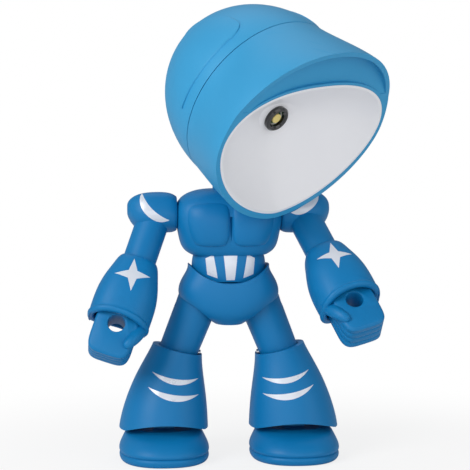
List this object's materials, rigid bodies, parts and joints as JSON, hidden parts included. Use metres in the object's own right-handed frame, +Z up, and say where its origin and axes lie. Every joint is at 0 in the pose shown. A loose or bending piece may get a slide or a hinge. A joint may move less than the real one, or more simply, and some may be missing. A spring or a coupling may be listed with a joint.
{
  "type": "robot shaped desk lamp",
  "caption": "Standing robot figure lamp: the head is the shade with a white bowl and one LED, on a jointed body with fists that hold a pen.",
  "frame": {"origin": "on the floor under the middle of the bounding box of the posed lamp", "axes": "+Z up from the desk, -Y the way the robot faces, +X to its left hand"},
  "size_m": [0.1604, 0.1253, 0.2476],
  "materials": {
    "aluminium": "extruded",
    "bezel": "gloss black",
    "board": "printed circuit board",
    "body_shell": "satin moulded ABS, deep blue",
    "cell": "wrapped cell",
    "emitter": "pale yellow phosphor",
    "head_shell": "satin moulded ABS, mid blue",
    "inlay": "silver grey print, matt",
    "inner": "black inner part",
    "reflector": "white satin",
    "steel": "plain steel"
  },
  "bodies": {
    "pelvis": {"pelvis_front": "body_shell", "pelvis_back": "body_shell", "hip_axle": "steel"},
    "torso": {"waist_barrel": "body_shell", "waist_stripes": "inlay", "waist_pivot": "body_shell", "chest_front": "body_shell", "chest_back": "body_shell", "chest_screws": "steel", "control_board": "board", "button_switch": "inner", "charge_inlet": "inner", "battery_cell": "cell"},
    "button": {"push_button": "body_shell"},
    "neck": {"neck_stem": "body_shell"},
    "head": {"rear_shell": "head_shell", "front_shell": "head_shell", "reflector": "reflector", "led_bezel": "bezel", "led_emitter": "emitter", "led_board": "board", "heat_sink": "aluminium", "neck_bracket": "inner", "bracket_screws": "steel", "tilt_pin": "steel"},
    "left_arm": {"left_shoulder": "body_shell", "left_crescent": "inlay", "left_shoulder_pin": "steel", "left_upper_arm": "body_shell"},
    "left_forearm": {"left_glove": "body_shell", "left_star": "inlay", "left_arm_pin": "steel"},
    "left_hand": {"left_fist": "body_shell"},
    "left_upper_leg": {"left_thigh": "body_shell"},
    "left_lower_leg": {"left_boot": "body_shell", "left_boot_stripes": "inlay", "left_knee_pin": "steel", "left_ankle_pin": "steel"},
    "left_foot_group": {"left_foot": "body_shell", "left_sole": "body_shell"},
    "right_arm": {"right_shoulder": "body_shell", "right_crescent": "inlay", "right_shoulder_pin": "steel", "right_upper_arm": "body_shell"},
    "right_forearm": {"right_glove": "body_shell", "right_star": "inlay", "right_arm_pin": "steel"},
    "right_hand": {"right_fist": "body_shell"},
    "right_upper_leg": {"right_thigh": "body_shell"},
    "right_lower_leg": {"right_boot": "body_shell", "right_boot_stripes": "inlay", "right_knee_pin": "steel", "right_ankle_pin": "steel"},
    "right_foot_group": {"right_foot": "body_shell", "right_sole": "body_shell"}
  },
  "joints": [
    {"name": "waist_turn", "type": "hinge", "parent": "pelvis", "child": "torso", "pos_m": [-0.00365, 0.03752, 0.098], "axis": [0, 0, 1], "range_deg": [-12, 12]},
    {"name": "neck_pan", "type": "hinge", "parent": "torso", "child": "neck", "pos_m": [-0.00365, 0.03132, 0.16805], "axis": [0, -0.1547, 0.988], "range_deg": [-60, 12]},
    {"name": "head_tilt", "type": "hinge", "parent": "neck", "child": "head", "pos_m": [-0.00365, 0.03132, 0.16805], "axis": [0.809, 0.5807, 0.0909], "range_deg": [-40, 2]},
    {"name": "button_press", "type": "slide", "parent": "torso", "child": "button", "axis": [0, -1, 0], "range_m": [0, 0.0015], "stiffness_N_per_m": 400},
    {"name": "left_shoulder_swing", "type": "hinge", "parent": "torso", "child": "left_arm", "pos_m": [0.03585, 0.03752, 0.136], "axis": [1, 0, 0], "range_deg": [-30, 70]},
    {"name": "left_elbow_turn", "type": "hinge", "parent": "left_arm", "child": "left_forearm", "pos_m": [0.05032, 0.01015, 0.10473], "axis": [-0.3289, 0.6221, 0.7106], "range_deg": [-90, 90]},
    {"name": "left_wrist_turn", "type": "hinge", "parent": "left_forearm", "child": "left_hand", "pos_m": [0.05884, -0.00596, 0.08633], "axis": [-0.3289, 0.6221, 0.7106], "range_deg": [-90, 90]},
    {"name": "left_hip_swing", "type": "hinge", "parent": "pelvis", "child": "left_upper_leg", "pos_m": [0.01335, 0.03752, 0.086], "axis": [1, 0, 0], "range_deg": [-30, 20]},
    {"name": "left_knee_bend", "type": "hinge", "parent": "left_upper_leg", "child": "left_lower_leg", "pos_m": [0.02475, 0.03752, 0.0575], "axis": [1, 0, 0], "range_deg": [-5, 15]},
    {"name": "left_ankle_tilt", "type": "hinge", "parent": "left_lower_leg", "child": "left_foot_group", "pos_m": [0.03235, 0.03752, 0.024], "axis": [1, 0, 0], "range_deg": [-5, 5]},
    {"name": "right_shoulder_swing", "type": "hinge", "parent": "torso", "child": "right_arm", "pos_m": [-0.04315, 0.03752, 0.136], "axis": [1, 0, 0], "range_deg": [-60, 50]},
    {"name": "right_elbow_turn", "type": "hinge", "parent": "right_arm", "child": "right_forearm", "pos_m": [-0.05762, 0.02089, 0.09792], "axis": [0.3289, 0.3781, 0.8654], "range_deg": [-90, 90]},
    {"name": "right_wrist_turn", "type": "hinge", "parent": "right_forearm", "child": "right_hand", "pos_m": [-0.06614, 0.0111, 0.07551], "axis": [0.3289, 0.3781, 0.8654], "range_deg": [-90, 90]},
    {"name": "right_hip_swing", "type": "hinge", "parent": "pelvis", "child": "right_upper_leg", "pos_m": [-0.02065, 0.03752, 0.086], "axis": [1, 0, 0], "range_deg": [-30, 20]},
    {"name": "right_knee_bend", "type": "hinge", "parent": "right_upper_leg", "child": "right_lower_leg", "pos_m": [-0.03205, 0.03752, 0.0575], "axis": [1, 0, 0], "range_deg": [-5, 15]},
    {"name": "right_ankle_tilt", "type": "hinge", "parent": "right_lower_leg", "child": "right_foot_group", "pos_m": [-0.03965, 0.03752, 0.024], "axis": [1, 0, 0], "range_deg": [-5, 5]}
  ]
}
